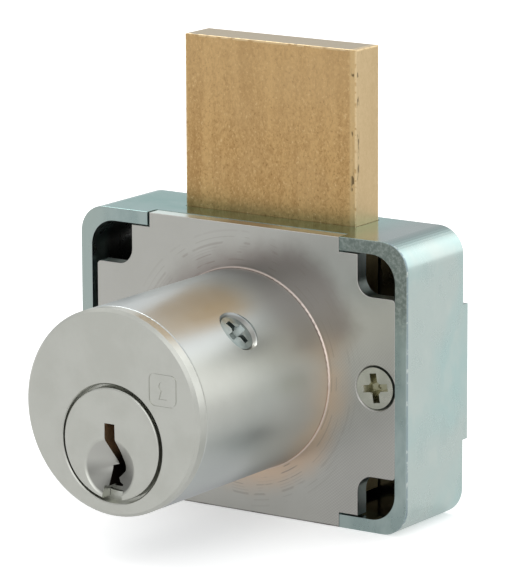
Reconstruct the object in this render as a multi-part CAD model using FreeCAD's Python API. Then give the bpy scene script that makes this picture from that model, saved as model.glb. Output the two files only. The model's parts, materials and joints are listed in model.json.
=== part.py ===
"""Surface-mounted drawer deadbolt lock with a removable pin tumbler cylinder.

Frame: millimetres, +Z the way the bolt is thrown, -Y towards the key, +X to the right of a person
who faces the keyhole. The origin is on the axis of the barrel, in the face of the mounting plate,
which bears against the back of the drawer front.

A die-cast case holds a flat brass bolt. A plate with a tubular barrel closes the case, and two
screws hold it. The cylinder slides into the barrel from the front, and one screw in the barrel's
side keeps it there. The plug sits below the barrel's axis and carries a crank arm on its tail.
The crank pin works in a slot of the bolt, so half a turn of the key throws the bolt.
"""

import FreeCAD
import Part

import math
import os

Vector = FreeCAD.Vector

# ---- driving dimensions -------------------------------------------------------------------------

INCH = 25.4
PAST = 1.0  # how far a cutting tool reaches past the surface that it opens
ROOT = 0.5  # how far a fused feature reaches into the wall behind it

# case
CASE_PLATING = 0.1  # plating and casting allowance on each outer side
CASE_WIDTH = 2.0 * INCH + 2 * CASE_PLATING
CASE_HEIGHT = 1.5 * INCH + 2 * CASE_PLATING
CASE_DEPTH = 14.0
CASE_WALL = 1.75
CASE_FLOOR = 1.95  # thickness of the back wall
CASE_CORNER = 3.7
CAVITY_CORNER = 3.6
CASE_BACK_ROUND = 0.4
CASE_RIM_ROUND = 0.12
CASE_CENTRE_X = -0.43  # the case takes up its side clearance to the left
CASE_RIM = 0.05  # how far the rim lies behind the mounting face
BAND_HALF_HEIGHT = 9.0
BAND_RISE = 1.1
BAND_FRONT_Y = 5.0
BAND_ROUND = 0.35
GUIDE_THICK = 1.2
GUIDE_GAP = 0.15

# plate and barrel
PLATE_THICK = 2.1
PLATE_SEAT_GAP = 0.05
PLATE_CORNER = 0.5
PLATE_EDGE = 0.06  # chamfer around the front of the plate
SHOULDER_GAP = 0.22
TAB_TOP_GAP = 0.05
PLATE_HALF_WIDTH = 23.3
WING_HALF_HEIGHT = 11.8
SHOULDER_HALF_WIDTH = 17.65
TAB_HALF_WIDTH = 14.8
TAB_GAP_LEFT = 0.35
TAB_GAP_RIGHT = 0.07
NOTCH_CORNER = 2.2
BARREL_RADIUS = 13.3
BARREL_LENGTH = 27.45
BARREL_BORE = 11.6
BARREL_FOOT = 0.25  # fillet where the barrel meets the plate
BARREL_END_ROUND = 0.25

# cylinder and plug
FACE_Y = -29.2
FACE_ROUND = 0.2
FLANGE_EDGE = 0.4  # chamfer around the cylinder's face
FLANGE_BACK_GAP = 0.02
SHELL_GAP = 0.1  # between the cylinder shell and the barrel's bore
PLUG_Z = -3.97  # the plug's axis below the barrel's axis
PLUG_RADIUS = 6.35
PLUG_HEAD_RADIUS = 7.25
PLUG_HEAD_LENGTH = 1.6
PLUG_PROUD = 0.15
PLUG_MOUTH_GAP = 0.4  # ring-shaped gap around the plug's head
PLUG_MOUTH_EDGE = 0.15
DISH_RADIUS = 3.85  # conical key entry around the lower keyway
DISH_DEPTH = 1.7
DISH_X = -0.3
DISH_Z = -3.1  # from the plug's axis
RELIEF_TOP_Z = -5.6  # the slot that opens the foot of the keyway, from the plug's axis
RELIEF_LEFT_X = -1.45
RELIEF_RIGHT_X = 1.6
KEYWAY_END_Y = -3.0
SHELL_END_Y = 0.9
PLUG_END_Y = 2.2
RUNNING_GAP = 0.05
CLIP_THICK = 0.6
CLIP_RADIUS = 7.3
CLIP_BORE = 5.45
GROOVE_RADIUS = 5.4
MARK_X = 7.9  # keyhole pictogram on the face
MARK_Z = 3.95
MARK_HALF = 2.1
MARK_CORNER = 0.9
MARK_LINE = 0.14
MARK_DEPTH = 0.08
MARK_EYE = 0.62

# pins
PIN_COUNT = 5
PIN_PITCH = 3.97
FIRST_PIN_Y = FACE_Y + 6.3
PIN_RADIUS = 1.44
CHAMBER_RADIUS = 1.48
CHAMBER_FLOOR = -1.8  # bottom of the plug's pin holes, above the plug's axis
KEY_PIN_TOP = 6.12
KEY_PIN_LENGTHS = (4.6, 5.6, 5.0, 6.2, 4.2)
DRIVER_LENGTH = 3.2
COVER_THICK = 0.7
COVER_WIDTH = 4.2
COVER_GAP = 0.03
COVER_OVERHANG = 2.35  # past the middles of the first and last chambers
SPRING_WIRE = 0.15
SPRING_TURNS = 6

# bolt and crank
BOLT_WIDTH = 26.65
BOLT_THICK = 5.4
BOLT_FRONT_Y = 6.4
BOLT_TOP_Z = 42.15
BOLT_BOTTOM_Z = -16.6
THROW = 0.5 * INCH
CRANK_RADIUS = THROW / 2
CRANK_PIN_RADIUS = 1.5
ARM_FRONT_Y = 2.6
ARM_THICK = 2.2
TAIL_RADIUS = 3.0
TAIL_FLAT = 2.2
HUB_RADIUS = 5.0
ARM_END_RADIUS = 3.0
BOLT_ROUND = 0.15
BOLT_GAP = 0.1  # between the bolt and the case's slot
SLOT_CORNER = 1.2

# fasteners
PLATE_SCREW_X = 20.4
SCREW_SHIFT = 0.1  # the screws sit to the left in the plate's clearance holes
PLATE_SCREW_SUNK = 0.02
HEAD_RADIUS = 2.72
HEAD_GAP = 0.34  # between a screw's head and the wide end of its countersink
BARREL_HEAD_RADIUS = 2.5
SHANK_RADIUS = 1.45
THREAD_HOLE_RADIUS = 1.48
CLEARANCE_HOLE_RADIUS = 1.6
THREAD_DEPTH = 0.2
COUNTERSINK_DEPTH = 1.4
BOSS_RADIUS = 3.0
MOUNT_HOLE_X = 20.9  # from the middle of the case
MOUNT_HOLE_Z = 14.9
MOUNT_HOLE_RADIUS = 1.9
MOUNT_SINK_RADIUS = 3.4
BARREL_SCREW_Y = -14.9
BARREL_SCREW_ANGLE = 43.5  # from +X towards +Z
BARREL_SCREW_SUNK = 0.65
BARREL_SINK_RADIUS = 2.98
BARREL_SINK_FLOOR = -1.75  # foot of the countersink, below the barrel's surface
BARREL_SINK_EDGE = -0.25
BARREL_SCREW_DEPTH = 7.2  # foot of its threaded hole, below the barrel's surface
LEAD_IN_RADIUS = 2.2
LEAD_IN_FLOOR = -2.3
CRANK_SCREW_RADIUS = 1.25
CRANK_SCREW_HOLE_RADIUS = 1.28

# ---- values worked out from them ----------------------------------------------------------------

CASE_LEFT = CASE_CENTRE_X - CASE_WIDTH / 2
CASE_RIGHT = CASE_CENTRE_X + CASE_WIDTH / 2
CASE_TOP = CASE_HEIGHT / 2
CAVITY_BACK_Y = CASE_DEPTH - CASE_FLOOR
BOSS_FRONT_Y = PLATE_THICK + PLATE_SEAT_GAP
SHELL_RADIUS = BARREL_BORE - SHELL_GAP
ARM_BACK_Y = ARM_FRONT_Y + ARM_THICK
CLIP_Y = SHELL_END_Y + 2 * RUNNING_GAP
PIN_YS = [FIRST_PIN_Y + i * PIN_PITCH for i in range(PIN_COUNT)]
SHEAR_Z = PLUG_Z + PLUG_RADIUS + 2 * RUNNING_GAP
COVER_Z = SHELL_RADIUS - COVER_THICK - 0.25
# The crank lifts its pin by a cosine while the bolt joint moves in proportion to the turn.
# The two differ most where their speeds match, and the slot is that much higher on each side.
LAG_ANGLE = math.asin(2 / math.pi)
CRANK_LAG = CRANK_RADIUS * (2 / math.pi * LAG_ANGLE - (1 - math.cos(LAG_ANGLE)))
SLOT_HALF_HEIGHT = CRANK_PIN_RADIUS + CRANK_LAG + BOLT_GAP
SLOT_HALF_WIDTH = CRANK_RADIUS + CRANK_PIN_RADIUS + 0.3
SLOT_Z = PLUG_Z - CRANK_RADIUS


# ---- shapes that the parts share ----------------------------------------------------------------

def box(x0, x1, y0, y1, z0, z1):
    return Part.makeBox(x1 - x0, y1 - y0, z1 - z0, Vector(x0, y0, z0))


def rod(radius, y0, y1, x=0.0, z=0.0):
    """A cylinder along Y."""
    return Part.makeCylinder(radius, y1 - y0, Vector(x, y0, z), Vector(0, 1, 0))


def cone(radius0, radius1, y0, y1, x=0.0, z=0.0):
    """A truncated cone along Y."""
    return Part.makeCone(radius0, radius1, y1 - y0, Vector(x, y0, z), Vector(0, 1, 0))


def prism(points, y0, y1):
    """A polygon of (x, z) corners, extruded along Y."""
    corners = [Vector(x, y0, z) for x, z in points]
    return Part.Face(Part.makePolygon(corners + corners[:1])).extrude(Vector(0, y1 - y0, 0))


def edges_along(shape, direction):
    """The straight edges of a shape that run along a unit vector."""
    found = []
    for edge in shape.Edges:
        if isinstance(edge.Curve, Part.Line) and abs(abs(edge.Curve.Direction * direction) - 1) < 1e-6:
            found.append(edge)
    return found


def rounded_block(x0, x1, y0, y1, z0, z1, corner):
    """A box whose four edges along Y are rounded."""
    block = box(x0, x1, y0, y1, z0, z1)
    return block.makeFillet(corner, edges_along(block, Vector(0, 1, 0)))


def near(a, b, slack=0.01):
    return abs(a - b) < slack


def rim_edges(shape, y):
    """The edges that lie wholly in the plane at y."""
    found = []
    for edge in shape.Edges:
        if near(edge.BoundBox.YMin, y, 1e-6) and near(edge.BoundBox.YMax, y, 1e-6):
            found.append(edge)
    return found


def at_corners(half_x, half_z):
    """The four corners of a rectangle about the origin."""
    return [(sx * half_x, sz * half_z) for sx in (-1, 1) for sz in (-1, 1)]


def revolved(profile):
    """A solid of revolution about Z from (radius, z) points."""
    corners = [Vector(r, 0, z) for r, z in profile]
    face = Part.Face(Part.makePolygon(corners + corners[:1]))
    return face.revolve(Vector(0, 0, 0), Vector(0, 0, 1), 360)


def phillips_recess(span, arm, depth):
    """A cross recess that opens at z = 0, wide at its middle, and narrows downwards to a blunt point."""
    point = 0.2
    recess = Part.makeCone(point, arm * 1.05, depth + 2 * point, Vector(0, 0, -depth - point))
    for turn in (0, 90):
        outline = [(-span / 2, 0.3), (-span / 2, 0), (-span * 0.3, -depth)]
        outline += [(-x, z) for x, z in reversed(outline)]
        corners = [Vector(x, -arm / 2, z) for x, z in outline]
        wing = Part.Face(Part.makePolygon(corners + corners[:1])).extrude(Vector(0, arm, 0))
        wing.rotate(Vector(0, 0, 0), Vector(0, 0, 1), turn)
        recess = recess.fuse(wing)
    return recess


def flat_head_screw(head_radius, length, pitch, dome=0.0):
    """A countersunk Phillips screw along -Z whose head has its rim at z = 0."""
    rim = 0.12
    neck = -rim - (head_radius - SHANK_RADIUS)
    profile = [(0, dome), (head_radius * 0.55, dome * 0.72), (head_radius, 0), (head_radius, -rim)]
    profile.append((SHANK_RADIUS, neck))
    z = neck - pitch
    while z - pitch > -length:
        profile += [(SHANK_RADIUS, z), (SHANK_RADIUS - THREAD_DEPTH, z - pitch / 2)]
        z -= pitch
    profile += [(SHANK_RADIUS, z), (SHANK_RADIUS - 2 * THREAD_DEPTH, -length), (0, -length)]
    recess = phillips_recess(head_radius * 1.42, head_radius * 0.36, 1.3)
    recess.translate(Vector(0, 0, dome * 0.6))
    return revolved(profile).cut(recess)


def laid_along_y(shape, x, y, z):
    """A shape made with its head up +Z, turned so that the head faces -Y."""
    shape.rotate(Vector(0, 0, 0), Vector(1, 0, 0), 90)
    shape.translate(Vector(x, y, z))
    return shape


def set_in_barrel(shape):
    """A shape made with its head up +Z, set at the barrel's side screw, its z = 0 on the barrel."""
    shape.translate(Vector(0, 0, BARREL_RADIUS))
    shape.rotate(Vector(0, 0, 0), Vector(0, 1, 0), 90 - BARREL_SCREW_ANGLE)
    shape.translate(Vector(0, BARREL_SCREW_Y, 0))
    return shape


# ---- case ---------------------------------------------------------------------------------------

def make_case_body():
    """Rounded box with a raised band across its back, hollowed from the front."""
    body = rounded_block(CASE_LEFT, CASE_RIGHT, CASE_RIM, CASE_DEPTH, -CASE_TOP, CASE_TOP, CASE_CORNER)
    body = body.makeFillet(CASE_BACK_ROUND, rim_edges(body, CASE_DEPTH))
    body = body.makeFillet(CASE_RIM_ROUND, rim_edges(body, CASE_RIM))
    band_back_y = CASE_DEPTH + BAND_RISE
    band = box(CASE_LEFT, CASE_RIGHT, BAND_FRONT_Y, band_back_y, -BAND_HALF_HEIGHT, BAND_HALF_HEIGHT)
    body = body.fuse(band.makeFillet(BAND_ROUND, rim_edges(band, band_back_y)))
    cavity_top = CASE_TOP - CASE_WALL
    return body.cut(rounded_block(CASE_LEFT + CASE_WALL, CASE_RIGHT - CASE_WALL, -PAST, CAVITY_BACK_Y,
                                  -cavity_top, cavity_top, CAVITY_CORNER))


def make_screw_boss(side):
    """Boss for one plate screw, tied to the side wall by a rib."""
    boss_x = side * PLATE_SCREW_X - SCREW_SHIFT
    wall_x = CASE_RIGHT - PAST if side > 0 else CASE_LEFT + PAST
    x0, x1 = sorted((boss_x, wall_x))
    rib = box(x0, x1, BOSS_FRONT_Y, CAVITY_BACK_Y + ROOT, -BOSS_RADIUS, BOSS_RADIUS)
    return rod(BOSS_RADIUS, BOSS_FRONT_Y, CAVITY_BACK_Y + ROOT, boss_x).fuse(rib)


def make_bolt_guide(side):
    """Upright wall that keeps one edge of the bolt straight."""
    near_x = side * (BOLT_WIDTH / 2 + GUIDE_GAP)
    far_x = near_x + side * GUIDE_THICK
    x0, x1 = sorted((near_x, far_x))
    return box(x0, x1, BOLT_FRONT_Y, CAVITY_BACK_Y + ROOT, -BAND_HALF_HEIGHT, BAND_HALF_HEIGHT)


def make_lock_case():
    """Open-fronted die-cast case with screw bosses, bolt guides and a raised band across its back."""
    body = make_case_body()
    for side in (-1, 1):
        body = body.fuse([make_screw_boss(side), make_bolt_guide(side)])
    body = body.removeSplitter()
    tab_x0 = -TAB_HALF_WIDTH - TAB_GAP_LEFT
    tab_x1 = TAB_HALF_WIDTH + TAB_GAP_RIGHT
    wall_z = CASE_TOP - CASE_WALL - ROOT
    for side in (-1, 1):
        screw_x = side * PLATE_SCREW_X - SCREW_SHIFT
        body = body.cut(rod(THREAD_HOLE_RADIUS, 0, CAVITY_BACK_Y - ROOT, screw_x))
        z0, z1 = sorted((side * wall_z, side * (CASE_TOP + PAST)))
        body = body.cut(box(tab_x0, tab_x1, -PAST, BOSS_FRONT_Y, z0, z1))
    slot_half = BOLT_WIDTH / 2 + BOLT_GAP
    body = body.cut(box(-slot_half, slot_half, BOLT_FRONT_Y - BOLT_GAP, CAVITY_BACK_Y,
                        wall_z, CASE_TOP + PAST))
    sink_y = CASE_DEPTH - (MOUNT_SINK_RADIUS - MOUNT_HOLE_RADIUS)
    for side_x, z in at_corners(MOUNT_HOLE_X, MOUNT_HOLE_Z):
        x = CASE_CENTRE_X + side_x
        body = body.cut(rod(MOUNT_HOLE_RADIUS, CAVITY_BACK_Y - PAST, CASE_DEPTH + PAST, x, z))
        body = body.cut(cone(MOUNT_HOLE_RADIUS, MOUNT_SINK_RADIUS, sink_y, CASE_DEPTH, x, z))
    return body


def make_plate():
    """Mounting plate with a tab at top and bottom and a rounded notch at each corner."""
    plate = rounded_block(-PLATE_HALF_WIDTH, PLATE_HALF_WIDTH, 0, PLATE_THICK,
                          -WING_HALF_HEIGHT, WING_HALF_HEIGHT, PLATE_CORNER)
    shoulder = CASE_TOP - CASE_WALL - SHOULDER_GAP
    plate = plate.fuse(box(-SHOULDER_HALF_WIDTH, SHOULDER_HALF_WIDTH, 0, PLATE_THICK, -shoulder, shoulder))
    tab_top = CASE_TOP - TAB_TOP_GAP
    plate = plate.fuse(box(-TAB_HALF_WIDTH, TAB_HALF_WIDTH, 0, PLATE_THICK, -tab_top, tab_top))
    plate = plate.removeSplitter()
    notches = []
    for edge in edges_along(plate, Vector(0, 1, 0)):
        middle = edge.BoundBox.Center
        if near(abs(middle.x), SHOULDER_HALF_WIDTH) and near(abs(middle.z), WING_HALF_HEIGHT):
            notches.append(edge)
    plate = plate.makeFillet(NOTCH_CORNER, notches)
    return plate.makeChamfer(PLATE_EDGE, rim_edges(plate, 0))


def make_barrel_housing():
    """Mounting plate and barrel in one casting."""
    barrel = rod(BARREL_RADIUS, -BARREL_LENGTH, PLATE_THICK)
    barrel = barrel.makeFillet(BARREL_END_ROUND, rim_edges(barrel, -BARREL_LENGTH))
    housing = make_plate().fuse(barrel).removeSplitter()
    foot = [edge for edge in rim_edges(housing, 0) if near(edge.BoundBox.XLength, 2 * BARREL_RADIUS)]
    housing = housing.makeFillet(BARREL_FOOT, foot)
    housing = housing.cut(rod(BARREL_BORE, -BARREL_LENGTH - PAST, PLATE_THICK + PAST))
    for side in (-1, 1):
        x = side * PLATE_SCREW_X
        housing = housing.cut(rod(CLEARANCE_HOLE_RADIUS, -PAST, PLATE_THICK + PAST, x))
        housing = housing.cut(cone(HEAD_RADIUS + HEAD_GAP, CLEARANCE_HOLE_RADIUS, 0, COUNTERSINK_DEPTH, x))
    hole = Part.makeCylinder(CLEARANCE_HOLE_RADIUS, 6, Vector(0, 0, -6))
    sink = Part.makeCone(CLEARANCE_HOLE_RADIUS, BARREL_SINK_RADIUS, BARREL_SINK_EDGE - BARREL_SINK_FLOOR,
                         Vector(0, 0, BARREL_SINK_FLOOR))
    mouth = Part.makeCylinder(BARREL_SINK_RADIUS, 2, Vector(0, 0, BARREL_SINK_EDGE))
    return housing.cut(set_in_barrel(hole.fuse(sink).fuse(mouth)))


# ---- cylinder -----------------------------------------------------------------------------------

def keyhole_mark():
    """A shallow keyhole pictogram in a rounded frame, cut into the face beside the keyway."""
    floor_y = FACE_Y + MARK_DEPTH
    inner = MARK_HALF - MARK_LINE
    frame = rounded_block(-MARK_HALF, MARK_HALF, FACE_Y - PAST, floor_y, -MARK_HALF, MARK_HALF, MARK_CORNER)
    frame = frame.cut(rounded_block(-inner, inner, FACE_Y - 2 * PAST, floor_y + PAST, -inner, inner,
                                    MARK_CORNER - MARK_LINE))
    eye = rod(MARK_EYE, FACE_Y - PAST, floor_y, 0, 0.45)
    skirt = prism([(-0.2, 0.2), (0.2, 0.2), (0.6, -1.2), (-0.6, -1.2)], FACE_Y - PAST, floor_y)
    mark = frame.fuse(eye.fuse(skirt))
    mark.translate(Vector(MARK_X, 0, MARK_Z))
    return mark


def make_cylinder_shell():
    """Cylinder shell with a face flange, the plug's bore and five pin chambers."""
    flange = rod(BARREL_RADIUS, FACE_Y, -BARREL_LENGTH - FLANGE_BACK_GAP)
    flange = flange.makeChamfer(FLANGE_EDGE, rim_edges(flange, FACE_Y))
    shell = flange.fuse(rod(SHELL_RADIUS, -BARREL_LENGTH - 0.1, SHELL_END_Y)).removeSplitter()
    shell = shell.cut(rod(PLUG_RADIUS + RUNNING_GAP, FACE_Y - PAST, SHELL_END_Y + PAST, 0, PLUG_Z))
    mouth_radius = PLUG_HEAD_RADIUS + PLUG_MOUTH_GAP
    shell = shell.cut(rod(mouth_radius, FACE_Y - PAST, FACE_Y + PLUG_HEAD_LENGTH, 0, PLUG_Z))
    shell = shell.cut(cone(mouth_radius + PLUG_MOUTH_EDGE, mouth_radius, FACE_Y, FACE_Y + PLUG_MOUTH_EDGE,
                           0, PLUG_Z))
    for y in PIN_YS:
        shell = shell.cut(Part.makeCylinder(CHAMBER_RADIUS, 12, Vector(0, y, PLUG_Z + 5)))
    half = COVER_WIDTH / 2 + COVER_GAP
    reach = COVER_OVERHANG + COVER_GAP
    shell = shell.cut(box(-half, half, PIN_YS[0] - reach, PIN_YS[-1] + reach, COVER_Z, SHELL_RADIUS + PAST))
    screw_hole = Part.makeCylinder(THREAD_HOLE_RADIUS, BARREL_SCREW_DEPTH + PAST,
                                   Vector(0, 0, -BARREL_SCREW_DEPTH))
    lead_in = Part.makeCone(THREAD_HOLE_RADIUS, LEAD_IN_RADIUS, LEAD_IN_RADIUS - THREAD_HOLE_RADIUS,
                            Vector(0, 0, LEAD_IN_FLOOR))
    shell = shell.cut(set_in_barrel(screw_hole.fuse(lead_in)))
    return shell.cut(keyhole_mark())


def make_chamber_cover():
    """Strip that closes the pin chambers and carries the springs."""
    half = COVER_WIDTH / 2
    strip = box(-half, half, PIN_YS[0] - COVER_OVERHANG, PIN_YS[-1] + COVER_OVERHANG,
                COVER_Z + 0.01, COVER_Z + COVER_THICK)
    return strip.makeFillet(0.2, edges_along(strip, Vector(0, 0, 1)))


# (x, z) corners about the plug's axis, clockwise from the top left as the key goes in
KEYWAY = [(-0.97, 2.62), (0.55, 2.62), (0.6, 0.5), (1.22, -1.72), (1.62, -2.7), (1.57, -3.37),
          (0.4, -4.46), (0.8, -4.93), (1.4, -5.1), (1.3, -5.8), (-0.85, -5.8), (-0.85, -3.13),
          (0.1, -2.83), (-0.46, -1.33), (-1.0, 0.27)]


def make_tail(radius, flat, y0, y1):
    """A round bar along Y with a flat on each side."""
    return rod(radius, y0, y1).common(box(-flat, flat, y0, y1, -radius, radius))


def make_plug():
    """Plug with a warded keyway, a dished key entry, five pin holes and a flatted tail."""
    face_y = FACE_Y - PLUG_PROUD
    head_back_y = FACE_Y + PLUG_HEAD_LENGTH - RUNNING_GAP
    head = rod(PLUG_HEAD_RADIUS, face_y, head_back_y)
    head = head.makeFillet(FACE_ROUND, rim_edges(head, face_y))
    plug = head.fuse(rod(PLUG_RADIUS, head_back_y - 0.1, PLUG_END_Y)).removeSplitter()
    groove_y1 = CLIP_Y + CLIP_THICK + RUNNING_GAP
    ring = rod(PLUG_RADIUS + PAST, CLIP_Y - RUNNING_GAP, groove_y1)
    plug = plug.cut(ring.cut(rod(GROOVE_RADIUS, CLIP_Y - PAST, groove_y1 + PAST)))
    plug = plug.fuse(make_tail(TAIL_RADIUS, TAIL_FLAT, PLUG_END_Y - 0.1, ARM_BACK_Y - RUNNING_GAP))
    plug = plug.cut(rod(CRANK_SCREW_HOLE_RADIUS, PLUG_END_Y - 3.5, ARM_BACK_Y + PAST))
    dish = Part.makeCone(DISH_RADIUS, 0.4, DISH_DEPTH, Vector(DISH_X, face_y, DISH_Z), Vector(0, 1, 0))
    relief = box(RELIEF_LEFT_X, RELIEF_RIGHT_X, face_y - PAST, FACE_Y + PLUG_HEAD_LENGTH + 0.25,
                 -PLUG_HEAD_RADIUS - PAST, RELIEF_TOP_Z)
    plug = plug.cut([dish, relief, prism(KEYWAY, face_y - PAST, KEYWAY_END_Y)])
    plug.translate(Vector(0, 0, PLUG_Z))
    for y in PIN_YS:
        plug = plug.cut(Part.makeCylinder(CHAMBER_RADIUS, 12, Vector(0, y, PLUG_Z + CHAMBER_FLOOR)))
    return plug


def make_key_pin(length):
    """Bottom pin with a pointed foot and a chamfered flat top, its top at z = 0."""
    tip = 0.75
    return revolved([(0, 0), (PIN_RADIUS - 0.3, 0), (PIN_RADIUS, -0.25), (PIN_RADIUS, -length + tip),
                     (0.45, -length), (0, -length)])


def make_driver_pin():
    """Top pin with both ends chamfered, its foot at z = 0."""
    r = PIN_RADIUS
    return revolved([(0, 0), (r - 0.25, 0), (r, 0.25), (r, DRIVER_LENGTH - 0.2), (r - 0.2, DRIVER_LENGTH),
                     (0, DRIVER_LENGTH)])


def make_pin_spring(z0, z1):
    """Compression spring between two heights."""
    height = z1 - z0 - 2 * SPRING_WIRE - 0.04
    radius = PIN_RADIUS - SPRING_WIRE - 0.12
    helix = Part.makeHelix(height / SPRING_TURNS, height, radius)
    ring = Part.Wire([Part.Circle(Vector(radius, 0, 0), Vector(0, 1, 0), SPRING_WIRE).toShape()])
    spring = Part.Wire(helix.Edges).makePipeShell([ring], True, True)
    spring.translate(Vector(0, 0, z0 + SPRING_WIRE + 0.02))
    return spring


def make_plug_clip():
    """Open retaining ring behind the shell, in the groove of the plug."""
    clip = rod(CLIP_RADIUS, CLIP_Y, CLIP_Y + CLIP_THICK)
    clip = clip.cut(rod(CLIP_BORE, CLIP_Y - PAST, CLIP_Y + CLIP_THICK + PAST))
    opening = [(-3.4, 0), (3.4, 0), (5.2, 9), (-5.2, 9)]
    clip = clip.cut(prism(opening, CLIP_Y - PAST, CLIP_Y + CLIP_THICK + PAST))
    clip.translate(Vector(0, 0, PLUG_Z))
    return clip


def make_plate_screws():
    """The two screws that hold the plate on the case."""
    screws = []
    for side, turn in ((-1, 62), (1, 9)):
        screw = flat_head_screw(HEAD_RADIUS, 9.0, 0.64)
        screw.rotate(Vector(0, 0, 0), Vector(0, 0, 1), turn)
        screws.append(laid_along_y(screw, side * PLATE_SCREW_X - SCREW_SHIFT, PLATE_SCREW_SUNK, 0))
    return Part.makeCompound(screws)


def make_cylinder_screw():
    """Screw in the side of the barrel that holds the cylinder."""
    screw = flat_head_screw(BARREL_HEAD_RADIUS, 5.9, 0.6, dome=0.3)
    screw.rotate(Vector(0, 0, 0), Vector(0, 0, 1), 14)
    screw.translate(Vector(0, 0, -BARREL_SCREW_SUNK))
    return set_in_barrel(screw)


# ---- crank and bolt -----------------------------------------------------------------------------

def make_crank_arm():
    """Arm on the plug's flatted tail, with a hole for the crank pin."""
    arm = rod(HUB_RADIUS, ARM_FRONT_Y, ARM_BACK_Y)
    arm = arm.fuse(rod(ARM_END_RADIUS, ARM_FRONT_Y, ARM_BACK_Y, 0, -CRANK_RADIUS))
    web = [(-4.6, -1.6), (4.6, -1.6), (2.9, -CRANK_RADIUS), (-2.9, -CRANK_RADIUS)]
    arm = arm.fuse(prism(web, ARM_FRONT_Y, ARM_BACK_Y)).removeSplitter()
    fit = 0.02
    arm = arm.cut(make_tail(TAIL_RADIUS + fit, TAIL_FLAT + fit, ARM_FRONT_Y - PAST, ARM_BACK_Y + PAST))
    arm = arm.cut(rod(CRANK_PIN_RADIUS + 0.01, ARM_FRONT_Y - PAST, ARM_BACK_Y + PAST, 0, -CRANK_RADIUS))
    arm.translate(Vector(0, 0, PLUG_Z))
    return arm


def make_crank_pin():
    """Pin that drives the bolt."""
    end_y = BOLT_FRONT_Y + BOLT_THICK - 0.5
    pin = rod(CRANK_PIN_RADIUS, ARM_FRONT_Y, end_y, 0, SLOT_Z)
    return pin.makeChamfer(0.3, rim_edges(pin, end_y))


def make_crank_screw():
    """Pan-head screw that holds the arm on the tail."""
    shank_end = ARM_THICK + 3.0
    r = CRANK_SCREW_RADIUS
    screw = revolved([(0, 1.2), (1.6, 1.2), (2.3, 0.9), (2.6, 0.4), (2.6, 0), (r, 0), (r, -shank_end + 0.4),
                      (r - 0.35, -shank_end), (0, -shank_end)])
    recess = phillips_recess(2.8, 0.7, 0.9)
    recess.translate(Vector(0, 0, 1.2))
    screw = screw.cut(recess)
    screw.rotate(Vector(0, 0, 0), Vector(1, 0, 0), -90)
    screw.translate(Vector(0, ARM_BACK_Y + 0.01, PLUG_Z))
    return screw


def make_bolt():
    """Flat brass bolt with a slot for the crank pin."""
    half = BOLT_WIDTH / 2
    back_y = BOLT_FRONT_Y + BOLT_THICK
    bolt = box(-half, half, BOLT_FRONT_Y, back_y, BOLT_BOTTOM_Z, BOLT_TOP_Z)
    bolt = bolt.makeFillet(BOLT_ROUND, bolt.Edges)
    slot = rounded_block(-SLOT_HALF_WIDTH, SLOT_HALF_WIDTH, BOLT_FRONT_Y - PAST, back_y + PAST,
                         SLOT_Z - SLOT_HALF_HEIGHT, SLOT_Z + SLOT_HALF_HEIGHT, SLOT_CORNER)
    return bolt.cut(slot)


# ---- everything together ------------------------------------------------------------------------

def make_parts():
    """Every node's shape, by name."""
    parts = {
        "lock_case": make_lock_case(),
        "barrel_housing": make_barrel_housing(),
        "cylinder_shell": make_cylinder_shell(),
        "chamber_cover": make_chamber_cover(),
        "plug": make_plug(),
        "plug_clip": make_plug_clip(),
        "cylinder_screw": make_cylinder_screw(),
        "plate_screws": make_plate_screws(),
        "crank_arm": make_crank_arm(),
        "crank_pin": make_crank_pin(),
        "crank_screw": make_crank_screw(),
        "bolt": make_bolt(),
    }
    for number, (y, length) in enumerate(zip(PIN_YS, KEY_PIN_LENGTHS), 1):
        key_pin = make_key_pin(length)
        key_pin.translate(Vector(0, y, PLUG_Z + KEY_PIN_TOP))
        driver = make_driver_pin()
        driver.translate(Vector(0, y, SHEAR_Z))
        spring = make_pin_spring(SHEAR_Z + DRIVER_LENGTH, COVER_Z)
        spring.translate(Vector(0, y, 0))
        parts["key_pin_%d" % number] = key_pin
        parts["driver_pin_%d" % number] = driver
        parts["pin_spring_%d" % number] = spring
    return parts


def main():
    os.makedirs("parts", exist_ok=True)
    for name, shape in make_parts().items():
        solids = shape.Solids
        if not solids or not shape.isValid() or shape.Volume <= 0:
            raise RuntimeError(name + " is not a valid solid")
        shape.exportStep("parts/" + name + ".step")
        print("%-18s %d solid(s) %9.2f mm3" % (name, len(solids), shape.Volume))


main()
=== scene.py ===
"""Looks of the drawer deadbolt lock: materials, light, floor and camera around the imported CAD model.

Everything is in metres, in the CAD frame: +Z the way the bolt is thrown, -Y towards the key, and
the origin on the barrel's axis in the face of the mounting plate.
"""

import json
import math

import bpy
from mathutils import Matrix, Vector


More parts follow.
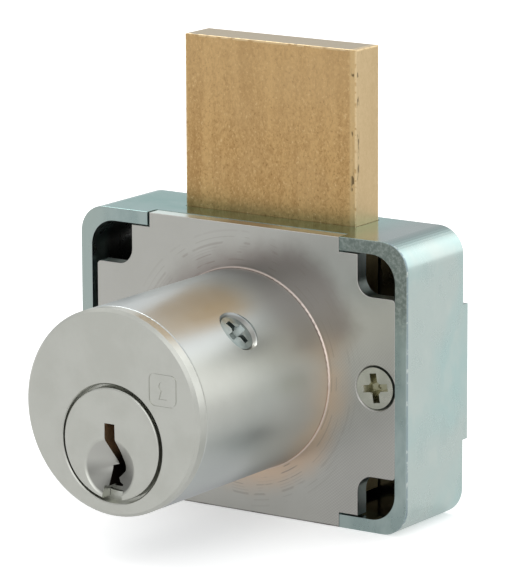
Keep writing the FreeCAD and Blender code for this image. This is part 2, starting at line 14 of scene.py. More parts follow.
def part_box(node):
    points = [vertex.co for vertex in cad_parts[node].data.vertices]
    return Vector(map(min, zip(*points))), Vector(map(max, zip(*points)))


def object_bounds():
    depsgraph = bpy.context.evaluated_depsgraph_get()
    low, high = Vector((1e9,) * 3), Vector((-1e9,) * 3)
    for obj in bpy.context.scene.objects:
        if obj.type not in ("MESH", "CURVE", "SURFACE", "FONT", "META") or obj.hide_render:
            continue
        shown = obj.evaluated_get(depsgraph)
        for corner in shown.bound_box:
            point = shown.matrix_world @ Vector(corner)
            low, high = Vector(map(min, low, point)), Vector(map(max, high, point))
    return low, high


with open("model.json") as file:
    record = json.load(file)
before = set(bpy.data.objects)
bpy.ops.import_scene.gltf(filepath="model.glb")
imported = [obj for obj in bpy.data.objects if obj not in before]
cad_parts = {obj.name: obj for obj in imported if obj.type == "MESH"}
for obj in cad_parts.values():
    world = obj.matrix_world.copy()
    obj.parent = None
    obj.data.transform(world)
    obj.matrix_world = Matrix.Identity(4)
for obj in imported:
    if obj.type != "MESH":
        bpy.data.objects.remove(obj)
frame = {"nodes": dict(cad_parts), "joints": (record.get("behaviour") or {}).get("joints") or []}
cad_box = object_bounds()

MM = 0.001

# ---- places that the materials need, all from the frame -------------------------------------------

PLUG_TURN = next(joint for joint in frame["joints"] if joint["name"] == "plug_turn")
PLUG_Z = PLUG_TURN["pos_m"][2]
FACE_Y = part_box("cylinder_shell")[0].y
CASE_LOW, CASE_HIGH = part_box("lock_case")
BOLT_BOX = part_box("bolt")

# ---- node helpers -------------------------------------------------------------------------------


class Tree:
    """A small builder for one shader node tree."""

    def __init__(self, tree):
        self.tree = tree
        self.tree.nodes.clear()

    def node(self, kind, inputs=None, **settings):
        made = self.tree.nodes.new(kind)
        for name, value in settings.items():
            setattr(made, name, value)
        for name, value in (inputs or {}).items():
            self.feed(made.inputs[name], value)
        return made

    def feed(self, socket, value):
        if isinstance(value, bpy.types.NodeSocket):
            self.tree.links.new(value, socket)
        else:
            socket.default_value = value

    def math(self, operation, a, b=0.0, c=0.0):
        return self.node("ShaderNodeMath", {0: a, 1: b, 2: c}, operation=operation).outputs[0]

    def add(self, *values):
        total = values[0]
        for value in values[1:]:
            total = self.math("ADD", total, value)
        return total

    def times(self, *values):
        total = values[0]
        for value in values[1:]:
            total = self.math("MULTIPLY", total, value)
        return total

    def inverse(self, value):
        return self.math("SUBTRACT", 1.0, value)

    def mix(self, factor, a, b):
        made = self.node("ShaderNodeMix", data_type="RGBA")
        self.feed(made.inputs[0], factor)
        self.feed(made.inputs[6], a)
        self.feed(made.inputs[7], b)
        return made.outputs[2]

    def between(self, value, low, high, to_low=0.0, to_high=1.0):
        """value eased from low..high to to_low..to_high, and held at both ends."""
        inputs = {"Value": value, "From Min": low, "From Max": high, "To Min": to_low, "To Max": to_high}
        return self.node("ShaderNodeMapRange", inputs, interpolation_type="SMOOTHSTEP").outputs[0]

    def between_mm(self, value, low, high, to_low=0.0, to_high=1.0):
        """The same with low and high in millimetres."""
        return self.between(value, low * MM, high * MM, to_low, to_high)

    def tint(self, color, tone, amount, *masks):
        """color moved towards tone by amount, where every mask is 1."""
        return self.mix(self.times(*masks, amount), color, tone)

    def noise(self, vector, scale, detail=3.0, roughness=0.5, distortion=0.0):
        inputs = {"Vector": vector, "Scale": scale, "Detail": detail, "Roughness": roughness,
                  "Distortion": distortion}
        return self.node("ShaderNodeTexNoise", inputs).outputs["Fac"]

    def stretched(self, vector, x, y, z):
        made = self.node("ShaderNodeVectorMath", {0: vector, 1: (x, y, z)}, operation="MULTIPLY")
        return made.outputs[0]

    def dot(self, vector, other):
        made = self.node("ShaderNodeVectorMath", {0: vector, 1: other}, operation="DOT_PRODUCT")
        return made.outputs["Value"]

    def place(self):
        """Object coordinates, which are frame coordinates, and their three parts."""
        place = self.node("ShaderNodeTexCoord").outputs["Object"]
        parts = self.node("ShaderNodeSeparateXYZ", {0: place}).outputs
        return place, parts[0], parts[1], parts[2]

    def facing(self):
        """The three parts of the flat normal."""
        normal = self.node("ShaderNodeNewGeometry").outputs["True Normal"]
        parts = self.node("ShaderNodeSeparateXYZ", {0: normal}).outputs
        return parts[0], parts[1], parts[2]

    def radius(self, x, z, centre_x=0.0, centre_z=0.0):
        """Distance from an axis along Y."""
        dx = self.math("SUBTRACT", x, centre_x)
        dz = self.math("SUBTRACT", z, centre_z)
        return self.math("SQRT", self.add(self.times(dx, dx), self.times(dz, dz)))

    def waves(self, x, z, centre, pitch):
        """Sine rings around an axis along Y; centre and pitch in millimetres."""
        radius = self.radius(x, z, centre[0] * MM, centre[1] * MM)
        return self.math("SINE", self.times(radius, math.tau / (pitch * MM)))

    def joined(self, x, y=0.0, z=0.0):
        return self.node("ShaderNodeCombineXYZ", {0: x, 1: y, 2: z}).outputs[0]

    def from_edge(self, x, y, z, box):
        """Distance from the nearest edge of a box, for a point on its surface."""
        gaps = []
        for value, low, high in zip((x, y, z), box[0], box[1]):
            gaps.append(self.math("MINIMUM", self.math("ABSOLUTE", self.math("SUBTRACT", value, low)),
                                  self.math("ABSOLUTE", self.math("SUBTRACT", value, high))))
        a, b, c = gaps
        return self.math("MAXIMUM", self.math("MINIMUM", a, b),
                         self.math("MINIMUM", self.math("MAXIMUM", a, b), c))

    def bump(self, height, distance, strength):
        inputs = {"Height": height, "Distance": distance, "Strength": strength}
        return self.node("ShaderNodeBump", inputs).outputs[0]

    def metal(self, color, roughness, normal):
        inputs = {"Base Color": color, "Roughness": roughness, "Metallic": 1.0, "Normal": normal}
        shader = self.node("ShaderNodeBsdfPrincipled", inputs)
        out = self.node("ShaderNodeOutputMaterial")
        self.tree.links.new(shader.outputs[0], out.inputs[0])
        return shader


def material(name):
    made = bpy.data.materials.new(name)
    made.use_nodes = True
    return made, Tree(made.node_tree)


def rgb(r, g, b):
    return (r, g, b, 1.0)


# ---- tones --------------------------------------------------------------------------------------

NICKEL_DARK = rgb(0.535, 0.543, 0.497)
NICKEL_LIGHT = rgb(0.572, 0.580, 0.535)

HATCH_TONE = rgb(0.42, 0.405, 0.385)
MILLED_TONE = rgb(0.38, 0.37, 0.355)
# painted reflection of the barrel on the plate, copper low down and brown higher up
BARREL_REFLECTION_COPPER = rgb(0.64, 0.48, 0.35)
BARREL_REFLECTION_BROWN = rgb(0.27, 0.235, 0.215)
ARC_TONE = rgb(0.27, 0.235, 0.21)
# painted coppery reflection at the barrel's foot
FOOT_REFLECTION_TONE = rgb(0.68, 0.58, 0.52)
# painted reflection of the zinc case on the plate's walls
PLATE_WALL_REFLECTION = rgb(0.70, 0.80, 0.765)
# painted shade along the plate's bottom edge
PLATE_EDGE_SHADE = rgb(0.07, 0.06, 0.055)
# painted reflection, light and shade on the barrel
BARREL_COOL_REFLECTION = rgb(0.50, 0.545, 0.555)
BARREL_PAINTED_LIGHT = rgb(0.76, 0.775, 0.74)
BARREL_UNDERSIDE_SHADE = rgb(0.34, 0.36, 0.37)
BARREL_CROWN_REFLECTION = rgb(0.525, 0.56, 0.565)
BORE_SHADE = rgb(0.24, 0.235, 0.21)

RAW_BRASS = rgb(0.52, 0.36, 0.16)
KEYWAY_DARK = rgb(0.44, 0.31, 0.19)
KEYWAY_LIGHT = rgb(0.66, 0.49, 0.31)
# painted shade deep in the keyway
KEYWAY_SHADE = rgb(0.06, 0.045, 0.035)
# painted shade in the dish around the keyway
DISH_SHADE_UPPER = rgb(0.46, 0.46, 0.43)
DISH_SHADE_LOWER = rgb(0.13, 0.13, 0.12)

ZINC_BLUE = rgb(0.475, 0.635, 0.615)
ZINC_GREY = rgb(0.545, 0.635, 0.605)
ZINC_PALE = rgb(0.64, 0.70, 0.66)
ZINC_DULL = rgb(0.42, 0.53, 0.52)
# painted reflection on the case's top
TOP_REFLECTION_DARK = rgb(0.09, 0.30, 0.275)
TOP_REFLECTION_LIGHT = rgb(0.17, 0.35, 0.335)
TOP_RIGHT_REFLECTION = rgb(0.19, 0.265, 0.26)
RIM_DARK = rgb(0.32, 0.405, 0.395)
RIM_LIGHT = rgb(0.385, 0.47, 0.455)
# painted light at the rim's left end
RIM_LEFT_LIT = rgb(0.40, 0.475, 0.45)
ROUGH_DARK = rgb(0.19, 0.23, 0.21)
ROUGH_LIGHT = rgb(0.34, 0.385, 0.355)
EDGE_LINE = rgb(0.25, 0.33, 0.37)
EDGE_NICK = rgb(0.60, 0.66, 0.64)
# painted shade inside the case
POCKET_SHADE = rgb(0.11, 0.095, 0.09)

BRASS_DARK = rgb(0.445, 0.265, 0.105)
BRASS_LIGHT = rgb(0.655, 0.425, 0.185)
BRASS_CLOUD = rgb(0.58, 0.385, 0.185)
BRASS_PIT = rgb(0.27, 0.155, 0.06)
BRASS_FLECK = rgb(0.78, 0.58, 0.31)
BRASS_TIP = rgb(0.66, 0.46, 0.235)
SIDE_DARK = rgb(0.61, 0.45, 0.24)
SIDE_LIGHT = rgb(0.69, 0.525, 0.30)
BRASS_END = rgb(0.40, 0.335, 0.225)
BRASS_WORN = rgb(0.80, 0.62, 0.36)
BRASS_BAND = rgb(0.72, 0.535, 0.28)
BRASS_DENT = rgb(0.14, 0.10, 0.05)

BLUE_ZINC = (rgb(0.27, 0.32, 0.31), rgb(0.40, 0.44, 0.42))
STRAW_ZINC = (rgb(0.47, 0.475, 0.415), rgb(0.54, 0.54, 0.48))
# painted shade in screw recesses
RECESS_SHADE = rgb(0.36, 0.345, 0.23)
TURNED_BRASS = (rgb(0.62, 0.43, 0.17), rgb(0.74, 0.55, 0.27))
SPRING_STEEL = (rgb(0.36, 0.36, 0.37), rgb(0.52, 0.51, 0.50))

# ---- places on the pieces, in millimetres -------------------------------------------------------

BARREL_ENDS_Y = (-0.5, -0.15)
NEAR_BARREL_R = (13.5, 20.0)
MILL_CENTRE = (60.0, 40.0)
MILL_PITCH = 0.30
BACK_MILL_CENTRE = (-45.0, 62.0)
BACK_MILL_PITCH = 0.33
MILLED_X = (8.0, 18.0)
MILLED_Z = (8.0, -2.0)
# where the barrel's painted reflection lies on the plate
BARREL_REFLECTION_R = (15.2, 19.6)
BARREL_REFLECTION_BROKEN_BY = 4.0
BARREL_REFLECTION_REACH = -3.5
BARREL_REFLECTION_REACH_X = (-2.0, 10.0)
BARREL_REFLECTION_REACH_Z = (2.0, 8.0)
BARREL_REFLECTION_BROWN_Z = (1.0, 8.0)
ARC_Z = (9.0, 13.0)
FOOT_INNER_R = (13.30, 13.36)
FOOT_OUTER_R = (13.5, 13.56)
FOOT_Y = (-0.3, -0.2)
PLATE_WALL_Y = (0.1, 0.3)
PLATE_WALL_R = (19.0, 20.0)
PLATE_BOTTOM_Z = (-18.90, -19.0)
# where the barrel's painted reflection, light and shade lie
COOL_Z = (3.0, -8.0)
PALE_Y = (-21.0, -9.0)
PALE_BOTTOM_Z = (-11.0, -6.0)
PALE_TOP_Z = (6.0, 0.0)
UNDERSIDE_Z = (-8.5, -12.0)
CROWN_Z = (6.0, 10.0)
BORE_R = (13.15, 12.95)
BORE_Y = (-25.0, -24.0)

PLUG_RIM_R = (5.6, 5.8)
TOP_RIGHT_X = (12.0, 20.0)
RIM_Y = (0.12, 0.3)
RIM_LEFT_X = (-20.0, -24.0)
CORNER_X = (8.0, 17.0)
CORNER_Z = (4.0, 12.0)
ROUNDING_FROM_Y = (0.05, 0.15)
ROUNDING_TO_Y = (0.32, 0.5)
POCKET_FROM_Y = (2.5, 4.5)
POCKET_WALL = (1.0, 1.6)
BACK_WALL = (2.8, 2.4)

BOLT_TIP_Z = (26.0, 40.0)
WORN_EDGE = (0.32, 0.16)
BAND_X = (12.2, 12.6)
DENT_FROM_EDGE = (0.2, 0.35)
DENT_TO_EDGE = (0.9, 0.5)
DENT_X = (11.5, 12.2)
DENT_DEPTH = (2.5, 1.5)
RECESS_DEPTH = 0.25

# ---- materials ----------------------------------------------------------------------------------


def satin_nickel_casting():
    """Barrel and plate: turned satin nickel with tool marks on the plate, a painted coppery reflection at the
    barrel's foot, and painted reflection, light and shade elsewhere on both.
    """
    made, t = material("satin_nickel_casting")
    place, x, y, z = t.place()
    r = t.radius(x, z)
    on_barrel = t.between_mm(y, *BARREL_ENDS_Y, 1.0, 0.0)
    on_plate = t.inverse(on_barrel)
    cloud = t.noise(place, 120.0, 4.0, 0.6)

    # tool marks: turning on the barrel, broken rings around its foot, two crossing sets of mill marks
    turning = t.noise(t.joined(0.0, t.times(y, 4000.0)), 1.0, 2.0)
    rings = t.noise(t.joined(t.times(r, 4200.0), 0.0), 1.0, 2.0)
    near_barrel = t.between_mm(r, *NEAR_BARREL_R, 1.0, 0.0)
    broken = t.between(t.noise(place, 260.0, 2.0), 0.42, 0.62)
    ring_marks = t.times(rings, near_barrel, broken)
    mill = t.waves(x, z, MILL_CENTRE, MILL_PITCH)
    back_mill = t.waves(x, z, BACK_MILL_CENTRE, BACK_MILL_PITCH)
    milled_right = t.times(t.between_mm(x, *MILLED_X), t.between_mm(z, *MILLED_Z))
    hatch = t.times(t.add(mill, back_mill), 0.25, milled_right)
    grain = t.noise(t.stretched(place, 5200.0, 900.0, 1100.0), 1.0, 2.0)
    plate_height = t.add(t.times(grain, 0.35), t.times(hatch, 0.5), ring_marks)
    height = t.add(t.times(turning, on_barrel, 0.15), t.times(plate_height, on_plate))

    # plate
    color = t.mix(t.between(cloud, 0.35, 0.65), NICKEL_DARK, NICKEL_LIGHT)
    color = t.mix(t.times(on_plate, t.between(hatch, -0.3, 0.3, 0.1, 0.8)), color, HATCH_TONE)
    color = t.tint(color, MILLED_TONE, 0.4, milled_right, on_plate)
    # painted reflection of the barrel: a warm ring on the plate around it, ragged at its edge, brown higher
    # up
    reach = t.times(t.between_mm(x, *BARREL_REFLECTION_REACH_X), t.between_mm(z, *BARREL_REFLECTION_REACH_Z), BARREL_REFLECTION_REACH * MM)
    ragged = t.add(r, t.times(cloud, BARREL_REFLECTION_BROKEN_BY * MM), reach)
    barrel_reflection = t.between_mm(ragged, *BARREL_REFLECTION_R, 1.0, 0.0)
    barrel_reflection_tone = t.mix(t.between_mm(z, *BARREL_REFLECTION_BROWN_Z), BARREL_REFLECTION_COPPER, BARREL_REFLECTION_BROWN)
    color = t.tint(color, barrel_reflection_tone, 0.85, barrel_reflection, on_plate)
    arcs = t.noise(t.joined(t.times(r, 2600.0), 0.0), 1.0, 2.0)
    above_or_below = t.between_mm(t.math("ABSOLUTE", z), *ARC_Z, 0.5, 1.0)
    color = t.tint(color, ARC_TONE, 0.7, t.between(arcs, 0.50, 0.58), near_barrel,
                   t.between(broken, 0.3, 0.7), on_plate, above_or_below)
    # painted reflection: the fillet at the barrel's foot is made coppery
    color = t.tint(color, FOOT_REFLECTION_TONE, 0.7, t.between_mm(r, *FOOT_INNER_R),
                   t.between_mm(r, *FOOT_OUTER_R, 1.0, 0.0), t.between_mm(y, *FOOT_Y))
    # painted reflection: the plate's walls just behind its face, out past the barrel, are made paler and
    # greener, as if mirroring the zinc case
    color = t.tint(color, PLATE_WALL_REFLECTION, 0.9, t.between_mm(y, *PLATE_WALL_Y),
                   t.between_mm(r, *PLATE_WALL_R))
    # painted shade: a dark, broken line along the plate's bottom edge, where its chamfer mirrors the dark
    # floor
    bottom_edge_shade = t.times(t.between_mm(z, *PLATE_BOTTOM_Z), on_plate)
    color = t.mix(t.times(bottom_edge_shade, t.between(broken, 0.0, 1.0, 0.6, 0.9)), color, PLATE_EDGE_SHADE)

    # barrel: painted reflection, light and shade: bluish lower down, paler low on the side towards the plate,
    # darker underneath, cooler on the crown and darker inside the bore
    color = t.tint(color, BARREL_COOL_REFLECTION, 0.6, t.between_mm(z, *COOL_Z), on_barrel)
    color = t.tint(color, BARREL_PAINTED_LIGHT, 0.9, t.between_mm(y, *PALE_Y), t.between_mm(z, *PALE_BOTTOM_Z),
                   on_barrel, t.between_mm(z, *PALE_TOP_Z))
    color = t.tint(color, BARREL_UNDERSIDE_SHADE, 0.7, t.between_mm(z, *UNDERSIDE_Z), on_barrel)
    color = t.tint(color, BARREL_CROWN_REFLECTION, 0.8, t.between_mm(z, *CROWN_Z), on_barrel)
    color = t.tint(color, BORE_SHADE, 0.7, t.between_mm(r, *BORE_R), t.between_mm(y, *BORE_Y), on_barrel)

    roughness = t.add(t.between(cloud, 0.3, 0.7, 0.33, 0.37), t.times(on_plate, -0.03))
    t.metal(color, roughness, t.bump(height, 0.01 * MM, 0.3))
    return made


def satin_nickel_cylinder():
    """Cylinder face: fine satin nickel outside, raw brass inside."""
    made, t = material("satin_nickel_cylinder")
    place, _, y, _ = t.place()
    cloud = t.noise(place, 180.0, 4.0, 0.6)
    grain = t.noise(place, 2600.0, 3.0)
    inside = t.between(y, FACE_Y + 2.1 * MM, FACE_Y + 2.3 * MM)
    nickel = t.mix(t.between(cloud, 0.35, 0.65), NICKEL_DARK, NICKEL_LIGHT)
    color = t.mix(inside, nickel, RAW_BRASS)
    t.metal(color, t.between(grain, 0.3, 0.7, 0.29, 0.33), t.bump(grain, 0.01 * MM, 0.08))
    return made


def satin_nickel_plug():
    """Plug: nickel on the face and in the dish, brown brass in the keyway and behind."""
    made, t = material("satin_nickel_plug")
    place, x, y, z = t.place()
    cloud = t.noise(place, 200.0, 4.0, 0.6)
    grain = t.noise(place, 2600.0, 3.0)
    facing_y = t.facing()[1]
    outward = t.between(facing_y, -0.6, -0.3, 1.0, 0.0)
    rim = t.between_mm(t.radius(x, z, 0.0, PLUG_Z), *PLUG_RIM_R)
    front = t.between(y, FACE_Y + 2.0 * MM, FACE_Y + 2.2 * MM, 1.0, 0.0)
    plated = t.times(t.math("MAXIMUM", outward, rim), front)
    nickel = t.mix(t.between(cloud, 0.35, 0.65), NICKEL_DARK, NICKEL_LIGHT)
    brass = t.mix(cloud, KEYWAY_DARK, KEYWAY_LIGHT)
    # painted shade: the keyway's brass darkens towards its bottom
    brass = t.mix(t.between(z, PLUG_Z - 0.6 * MM, PLUG_Z - 2.4 * MM), brass, KEYWAY_SHADE)
    color = t.mix(plated, brass, nickel)
    # painted shade: the dish behind the face is darker than the nickel, darkest at its lower side
    behind_face = t.between(y, FACE_Y - 0.10 * MM, FACE_Y + 0.05 * MM)
    low = t.between(z, PLUG_Z - 2.0 * MM, PLUG_Z - 4.4 * MM)
    color = t.tint(color, t.mix(low, DISH_SHADE_UPPER, DISH_SHADE_LOWER), 0.85, outward, front, behind_face)
    roughness = t.between(plated, 0.0, 1.0, 0.5, t.between(grain, 0.3, 0.7, 0.28, 0.32))
    t.metal(color, roughness, t.bump(grain, 0.01 * MM, 0.08))
    return made


def clear_zinc():
    """Case: die-cast zinc under clear blue plating, softly mottled, its rim rough at one corner."""
    made, t = material("clear_zinc")
    place, x, y, z = t.place()
    facing_x, facing_y, facing_z = t.facing()
    large = t.noise(place, 70.0, 3.0, 0.55, 0.5)
    small = t.noise(t.stretched(place, 1.0, 1.0, 0.6), 330.0, 4.0, 0.55)
    fine = t.noise(place, 2400.0, 3.0, 0.6)

    side = t.mix(t.between(large, 0.34, 0.66), ZINC_BLUE, ZINC_GREY)
    side = t.mix(t.between(small, 0.50, 0.70, 0.0, 0.3), side, ZINC_PALE)
    side = t.mix(t.between(small, 0.44, 0.32, 0.0, 0.2), side, ZINC_DULL)
    # painted reflection: the case's top is a darker, deeper teal than its sides, and greyer towards its right
    # end
    top = t.mix(t.between(large, 0.36, 0.62), TOP_REFLECTION_DARK, TOP_REFLECTION_LIGHT)
    top = t.mix(t.between_mm(x, *TOP_RIGHT_X), top, TOP_RIGHT_REFLECTION)
    color = t.mix(t.between(facing_z, 0.75, 0.98), side, top)

    on_rim = t.between_mm(y, *RIM_Y, 1.0, 0.0)
    smooth_rim = t.mix(t.between(small, 0.4, 0.6), RIM_DARK, RIM_LIGHT)
    # painted light: the rim is lighter at its left end
    smooth_rim = t.mix(t.between_mm(x, *RIM_LEFT_X), smooth_rim, RIM_LEFT_LIT)
    specks = t.between(t.noise(place, 1900.0, 4.0, 0.65), 0.38, 0.70)
    rough_rim = t.mix(specks, ROUGH_DARK, ROUGH_LIGHT)
    corner = t.times(t.between_mm(x, *CORNER_X), t.between_mm(z, *CORNER_Z))
    rim = t.mix(corner, smooth_rim, rough_rim)
    color = t.mix(t.times(on_rim, t.between(facing_y, -0.5, -0.8)), color, rim)

    nicked = t.between(t.noise(t.stretched(place, 1100.0, 1100.0, 1500.0), 1.0, 3.0), 0.56, 0.66)
    color = t.tint(color, t.mix(nicked, EDGE_LINE, EDGE_NICK), 0.85, t.between_mm(y, *ROUNDING_FROM_Y),
                   t.between_mm(y, *ROUNDING_TO_Y, 1.0, 0.0), t.between(facing_x, 0.1, 0.3))

    # painted shade on the surfaces inside the case's pocket, held back from its outer walls
    near, far = POCKET_WALL
    inner = t.times(t.between_mm(y, *POCKET_FROM_Y),
                    t.between(y, CASE_HIGH.y - BACK_WALL[0] * MM, CASE_HIGH.y - BACK_WALL[1] * MM, 1.0, 0.0))
    within_x = t.times(t.between(x, CASE_LOW.x + near * MM, CASE_LOW.x + far * MM),
                       t.between(x, CASE_HIGH.x - near * MM, CASE_HIGH.x - far * MM))
    within_z = t.times(t.between(z, CASE_LOW.z + near * MM, CASE_LOW.z + far * MM),
                       t.between(z, CASE_HIGH.z - near * MM, CASE_HIGH.z - far * MM))
    color = t.tint(color, POCKET_SHADE, 0.85, inner, within_x, within_z)

    height = t.add(t.times(small, 0.7), t.times(fine, 0.2), t.times(specks, corner, on_rim, 0.5))
    roughness = t.add(t.between(small, 0.3, 0.7, 0.26, 0.32), t.times(corner, on_rim, 0.15),
                      t.between(facing_z, 0.75, 0.98, 0.0, -0.12))
    t.metal(color, roughness, t.bump(height, 0.02 * MM, 0.3))
    return made


def brushed_brass():
    """Bolt: drawn brass bar, finely pitted along the draw, with smoother sides and worn bright edges."""
    made, t = material("brushed_brass")
    place, x, y, z = t.place()
    facing_x, _, facing_z = t.facing()
    sideways = t.math("ABSOLUTE", facing_x)
    streaks = t.noise(t.stretched(place, 2300.0, 2300.0, 1500.0), 1.0, 4.0, 0.6, 1.2)
    pits = t.noise(t.stretched(place, 3200.0, 3200.0, 2500.0), 1.0, 2.0, 0.6)
    long_streaks = t.noise(t.stretched(place, 520.0, 520.0, 40.0), 1.0, 3.0)
    cloud = t.noise(place, 130.0, 3.0, 0.5)

    tone = t.add(t.times(streaks, 0.48), t.times(pits, 0.22), t.times(long_streaks, 0.30))
    face = t.mix(t.between(tone, 0.38, 0.62), BRASS_DARK, BRASS_LIGHT)
    face = t.mix(t.between(cloud, 0.4, 0.7, 0.0, 0.3), face, BRASS_CLOUD)
    face = t.mix(t.between(pits, 0.35, 0.28, 0.0, 0.6), face, BRASS_PIT)
    face = t.mix(t.between(pits, 0.64, 0.70, 0.0, 0.6), face, BRASS_FLECK)
    face = t.mix(t.between_mm(z, *BOLT_TIP_Z, 0.0, 0.35), face, BRASS_TIP)
    side = t.mix(t.between(tone, 0.35, 0.65), SIDE_DARK, SIDE_LIGHT)
    color = t.mix(t.between(sideways, 0.5, 0.9), face, side)
    color = t.mix(t.between(facing_z, 0.6, 0.9), color, BRASS_END)

    edge = t.from_edge(x, y, z, BOLT_BOX)
    nicked = t.between(t.noise(t.stretched(place, 900.0, 900.0, 1500.0), 1.0, 2.0), 0.36, 0.50)
    color = t.tint(color, BRASS_WORN, 0.85, t.between_mm(edge, *WORN_EDGE), nicked)
    color = t.tint(color, BRASS_BAND, 0.6, t.between_mm(x, *BAND_X), t.between(sideways, 0.3, 0.1),
                   t.between(long_streaks, 0.35, 0.55, 0.5, 1.0))
    dents = t.between(t.noise(t.stretched(place, 1200.0, 1200.0, 500.0), 1.0, 2.0), 0.57, 0.64)
    beside = t.times(t.between_mm(edge, *DENT_TO_EDGE), t.between_mm(edge, *DENT_FROM_EDGE))
    front_y = BOLT_BOX[0].y
    in_front = t.between(y, front_y + DENT_DEPTH[0] * MM, front_y + DENT_DEPTH[1] * MM)
    color = t.tint(color, BRASS_DENT, 0.9, dents, beside, t.between_mm(x, *DENT_X), in_front)
    height = t.add(t.times(streaks, 0.6), t.times(pits, 0.5))
    t.metal(color, t.between(tone, 0.35, 0.65, 0.32, 0.42), t.bump(height, 0.02 * MM, 0.45))
    return made


def plated_steel(name, tones, polish, shade_from_y=1.0):
    """Screws and crank: plated steel, faintly tinted, with painted shade, a darker olive, on whatever lies
    behind the given y.
    """
    made, t = material(name)
    place, _, y, _ = t.place()
    cloud = t.noise(place, 500.0, 3.0, 0.6)
    fine = t.noise(place, 3500.0, 3.0, 0.6)
    color = t.mix(t.between(cloud, 0.35, 0.65), *tones)
    # painted shade: a darker olive in the recess behind the given y
    color = t.tint(color, RECESS_SHADE, 0.85, t.between(y, shade_from_y, shade_from_y + RECESS_DEPTH * MM))
    t.metal(color, t.between(cloud, 0.3, 0.7, polish, polish + 0.08), t.bump(fine, 0.01 * MM, 0.2))
    return made


def turned_brass():
    """Pins and chamber cover: bright turned brass."""
    made, t = material("turned_brass")
    place = t.place()[0]
    rings = t.noise(t.stretched(place, 150.0, 150.0, 6000.0), 1.0, 2.0)
    cloud = t.noise(place, 400.0, 3.0)
    color = t.mix(t.between(cloud, 0.3, 0.7), *TURNED_BRASS)
    t.metal(color, t.between(cloud, 0.3, 0.7, 0.24, 0.32), t.bump(rings, 0.01 * MM, 0.4))
    return made


def spring_steel():
    """Springs and clip: drawn and tempered steel wire."""
    made, t = material("spring_steel")
    place = t.place()[0]
    streaks = t.noise(place, 3000.0, 3.0)
    cloud = t.noise(place, 700.0, 3.0)
    color = t.mix(t.between(cloud, 0.3, 0.7), *SPRING_STEEL)
    t.metal(color, t.between(streaks, 0.3, 0.7, 0.25, 0.38), t.bump(streaks, 0.008 * MM, 0.3))
    return made


def dress(nodes, made):
    """Put a material in every slot of the named nodes."""
    for name in nodes:
        slots = frame["nodes"][name].data.materials
        if not slots:
            slots.append(made)
        for index in range(len(slots)):
            slots[index] = made


def numbered(kind):
    return sorted(name for name in frame["nodes"] if name.startswith(kind))


SCREW_HEAD_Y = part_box("plate_screws")[0].y

dress(["barrel_housing"], satin_nickel_casting())
dress(["cylinder_shell"], satin_nickel_cylinder())
dress(["plug"], satin_nickel_plug())
dress(["lock_case"], clear_zinc())
dress(["bolt"], brushed_brass())
dress(["cylinder_screw", "crank_arm", "crank_pin", "crank_screw"], plated_steel("blue_zinc", BLUE_ZINC, 0.30))
dress(["plate_screws"], plated_steel("straw_zinc", STRAW_ZINC, 0.20, SCREW_HEAD_Y + 0.08 * MM))
dress(["chamber_cover"] + numbered("key_pin") + numbered("driver_pin"), turned_brass())
dress(["plug_clip"] + numbered("pin_spring"), spring_steel())

# ---- floor, light and camera --------------------------------------------------------------------

FLOOR_SIZE = 6.0
FLOOR_TONE = 0.86
FLOOR_GLOW = 0.42
TABLE_TONE = 0.34
TABLE_GLOW = 0.45
TABLE_DEPTH = 0.2 * MM
FLOOR_MOTTLE = 0.01
FRONT_LIGHT = 0.62
BACK_LIGHT = 0.82
KEY_LIGHT = 1.0  # in front, on the right
OVERHEAD_LIGHT = 0.35
WINDOW_LIGHT = 0.65  # low behind, on the right
SKY_TONE = rgb(0.99, 0.995, 1.0)

# azimuth and elevation in degrees, as direction() takes them
OVERHEAD_WAY = (170.0, 70.0)
KEY_WAY = (19.0, 24.0)
WINDOW_WAY = (150.0, 16.0)
CAMERA_WAY = (34.16, 12.17)

CAMERA_ROLL = -0.261  # degrees
CAMERA_DISTANCE = 580.95 * MM
CAMERA_SHIFT_RIGHT = 2.182 * MM
CAMERA_SHIFT_UP = 10.034 * MM
CAMERA_LENS = 275.8
CAMERA_SENSOR = 36.0


def direction(azimuth, elevation):
    """Azimuth 0 is in front, on the -Y side, and +90 is at +X."""
    a = math.radians(azimuth)
    e = math.radians(elevation)
    return Vector((math.sin(a) * math.cos(e), -math.cos(a) * math.cos(e), math.sin(e)))


def make_floor(name, tone, glow, depth):
    bpy.ops.mesh.primitive_plane_add(size=FLOOR_SIZE, location=(0.0, 0.0, cad_box[0][2] - depth))
    floor = bpy.context.active_object
    floor.name = name
    made, t = material(name)
    place = t.place()[0]
    shade = t.between(t.noise(place, 3.0, 2.0), 0.3, 0.7, tone - FLOOR_MOTTLE, tone + FLOOR_MOTTLE)
    color = t.node("ShaderNodeCombineColor", {0: shade, 1: shade, 2: shade}).outputs[0]
    inputs = {"Base Color": color, "Roughness": 0.9, "Specular IOR Level": 0.0,
              "Emission Color": rgb(1.0, 1.0, 1.0), "Emission Strength": glow}
    shader = t.node("ShaderNodeBsdfPrincipled", inputs)
    out = t.node("ShaderNodeOutputMaterial")
    t.tree.links.new(shader.outputs[0], out.inputs[0])
    floor.data.materials.append(made)
    return floor


def make_floors():
    """The white sheet that the camera sees, and just under it the greyer table that the metal mirrors."""
    sheet = make_floor("sheet", FLOOR_TONE, FLOOR_GLOW, 0.0)
    sheet.visible_glossy = False
    sheet.visible_diffuse = False
    sheet.visible_shadow = False
    table = make_floor("table", TABLE_TONE, TABLE_GLOW, TABLE_DEPTH)
    table.visible_camera = False


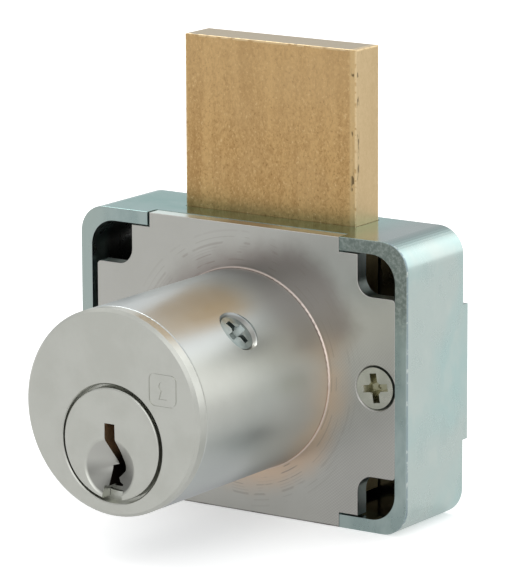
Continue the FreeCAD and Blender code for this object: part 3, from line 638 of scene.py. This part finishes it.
def make_world():
    """Soft studio light: brighter behind than in front, a broad key, an overhead bank and a window."""
    world = bpy.data.worlds.new("studio")
    bpy.context.scene.world = world
    world.use_nodes = True
    t = Tree(world.node_tree)
    way = t.node("ShaderNodeTexCoord").outputs["Generated"]
    front_to_back = t.between(t.dot(way, (0.0, 1.0, 0.0)), -0.6, 0.6, FRONT_LIGHT, BACK_LIGHT)
    overhead = t.between(t.dot(way, direction(*OVERHEAD_WAY)), 0.45, 0.95, 0.0, OVERHEAD_LIGHT)
    key = t.between(t.dot(way, direction(*KEY_WAY)), 0.80, 0.95, 0.0, KEY_LIGHT)
    window = t.between(t.dot(way, direction(*WINDOW_WAY)), 0.86, 0.97, 0.0, WINDOW_LIGHT)
    strength = t.add(front_to_back, overhead, key, window)
    sky = t.node("ShaderNodeBackground", {"Color": SKY_TONE, "Strength": strength})
    out = t.node("ShaderNodeOutputWorld")
    t.tree.links.new(sky.outputs[0], out.inputs[0])


def softbox(name, azimuth, elevation, distance, width, height, power):
    """An area light that faces the origin."""
    light = bpy.data.lights.new(name, "AREA")
    light.shape = "RECTANGLE"
    light.size = width
    light.size_y = height
    light.energy = power
    lamp = bpy.data.objects.new(name, light)
    bpy.context.scene.collection.objects.link(lamp)
    way = direction(azimuth, elevation)
    lamp.location = way * distance
    lamp.rotation_euler = way.to_track_quat("Z", "Y").to_euler()


def make_camera():
    """A long lens at the photographed angle, level but for a slight roll."""
    back = direction(*CAMERA_WAY)
    level_right = Vector((0.0, 0.0, 1.0)).cross(back).normalized()
    level_up = back.cross(level_right)
    turn = Matrix.Rotation(math.radians(CAMERA_ROLL), 3, back)
    right = turn @ level_right
    up = turn @ level_up
    camera = bpy.data.objects.new("camera", bpy.data.cameras.new("camera"))
    bpy.context.scene.collection.objects.link(camera)
    camera.location = right * CAMERA_SHIFT_RIGHT + up * CAMERA_SHIFT_UP + back * CAMERA_DISTANCE
    camera.rotation_euler = Matrix((right, up, back)).transposed().to_euler()
    camera.data.sensor_width = CAMERA_SENSOR
    camera.data.lens = CAMERA_LENS
    camera.data.clip_start = 0.01
    camera.data.clip_end = 20.0
    bpy.context.scene.camera = camera


make_floors()
make_world()
softbox("softbox", azimuth=245.0, elevation=50.0, distance=1.2, width=0.7, height=0.5, power=3.4)
make_camera()
bpy.context.scene.view_settings.view_transform = "Standard"
